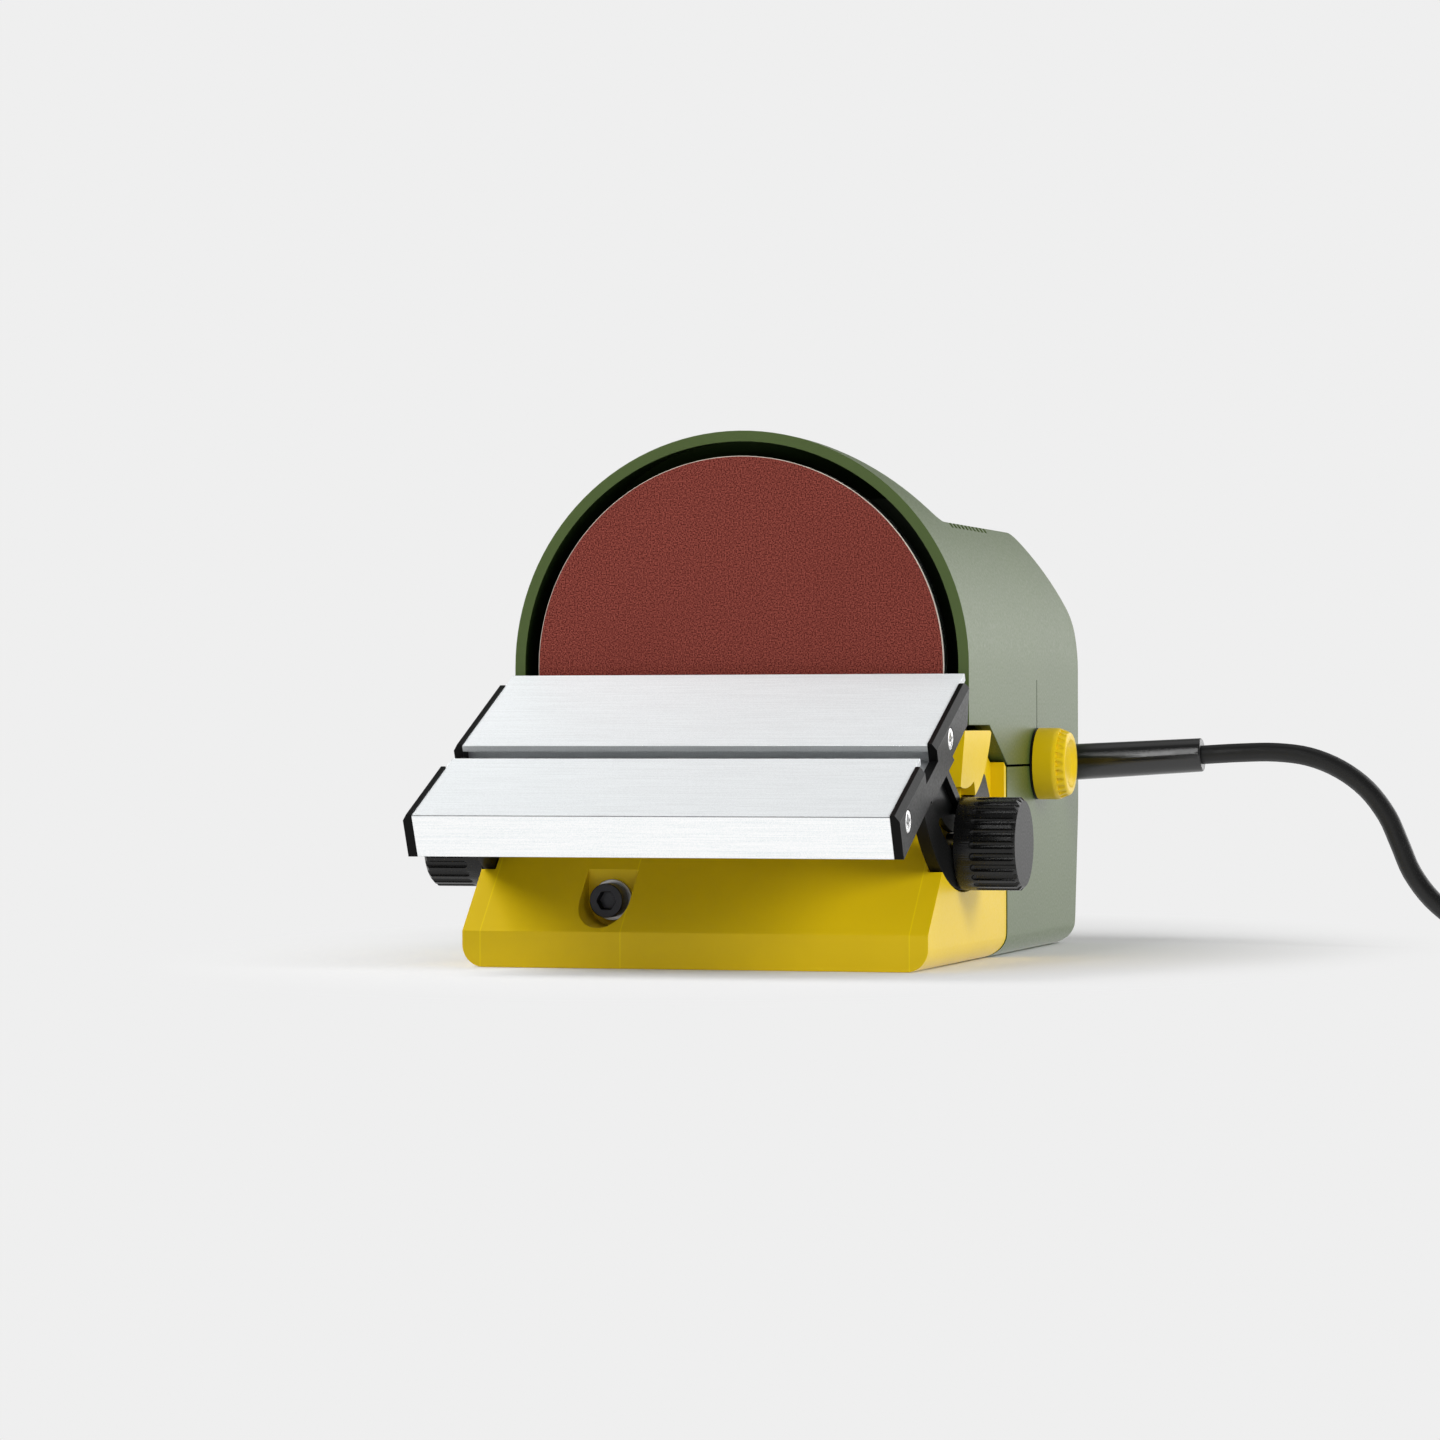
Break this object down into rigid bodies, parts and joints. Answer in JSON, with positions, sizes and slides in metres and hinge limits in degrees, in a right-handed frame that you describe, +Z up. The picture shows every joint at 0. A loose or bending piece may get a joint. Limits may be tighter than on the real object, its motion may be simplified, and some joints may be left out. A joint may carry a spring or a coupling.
{
  "type": "benchtop disc sander",
  "caption": "Compact benchtop disc sander: round abrasive disc in a moulded hood, tilting slotted work table on quadrant arms with clamp knobs, speed dial, dust port and coiled mains cord.",
  "frame": {"origin": "on the bench, at the underside of the base, below the centre of the sanding face", "axes": "+X to the right seen from the front, +Y from the sanding face to the back along the spindle, +Z up"},
  "size_m": [0.4135, 0.3259, 0.1575],
  "materials": {
    "green": "fine-grained moulded plastic, dark olive green",
    "yellow": "moulded plastic, warm yellow",
    "black": "moulded plastic, black",
    "steel": "plain steel",
    "zinc": "bright zinc plating",
    "alloy": "satin anodised aluminium",
    "brass": "plain metal",
    "magnet": "dark sintered",
    "board": "circuit board laminate",
    "abrasive": "coated abrasive, red-brown grain",
    "rubber": "soft rubber",
    "cord": "matt rubber cord"
  },
  "bodies": {
    "frame": {"base": "yellow", "lower_housing": "green", "upper_housing": "green", "rubber_feet": "rubber", "front_screw": "steel", "front_washer": "steel", "housing_screws": "steel", "clamp_inserts": "brass", "dust_duct": "black", "motor_can": "steel", "motor_magnets": "magnet", "motor_front_plate": "alloy", "motor_rear_plate": "alloy", "motor_screws": "steel", "front_bearing_outer": "steel", "front_bearing_balls": "steel", "rear_bearing_outer": "steel", "rear_bearing_balls": "steel", "brush_holders": "brass", "carbon_brushes": "magnet", "control_board": "board", "speed_control": "black", "dial_collar": "black", "cord_inner": "cord", "cord_clamp": "black", "cord_clamp_screws": "steel", "cord_sleeve": "cord", "cord_lead": "cord", "cord_coil": "cord", "cord_tail": "cord", "cord_tie": "black", "plug_body": "black", "plug_pins": "brass"},
    "spindle": {"sanding_sheet": "abrasive", "backing_disc": "alloy", "disc_set_screw": "steel", "motor_shaft": "steel", "armature_core": "steel", "armature_windings": "brass", "commutator": "brass", "cooling_fan": "black", "front_bearing_inner": "steel", "rear_bearing_inner": "steel"},
    "table": {"table_top": "alloy", "right_bracket": "black", "left_bracket": "black", "bracket_screws": "zinc"},
    "right_clamp": {"right_knob": "black", "right_stud": "steel", "right_washer": "steel"},
    "left_clamp": {"left_knob": "black", "left_stud": "steel", "left_washer": "steel"},
    "dial": {"speed_dial": "yellow", "dial_shaft": "steel"}
  },
  "joints": [
    {"name": "disc_spin", "type": "hinge", "parent": "frame", "child": "spindle", "pos_m": [0, 0, 0.0875], "axis": [0, 1, 0], "continuous": true},
    {"name": "table_tilt", "type": "hinge", "parent": "frame", "child": "table", "pos_m": [0, -0.0032, 0.0851], "axis": [1, 0, 0], "range_deg": [-39.3, 20.7]},
    {"name": "right_knob_turn", "type": "hinge", "parent": "frame", "child": "right_clamp", "pos_m": [0.0793, -0.0065, 0.03551], "axis": [1, 0, 0], "range_deg": [0, 360]},
    {"name": "left_knob_turn", "type": "hinge", "parent": "frame", "child": "left_clamp", "pos_m": [-0.0793, -0.0065, 0.03551], "axis": [-1, 0, 0], "range_deg": [0, 360]},
    {"name": "dial_turn", "type": "hinge", "parent": "frame", "child": "dial", "pos_m": [0.0757, 0.092, 0.058], "axis": [-1, 0, 0], "range_deg": [0, 270]}
  ]
}
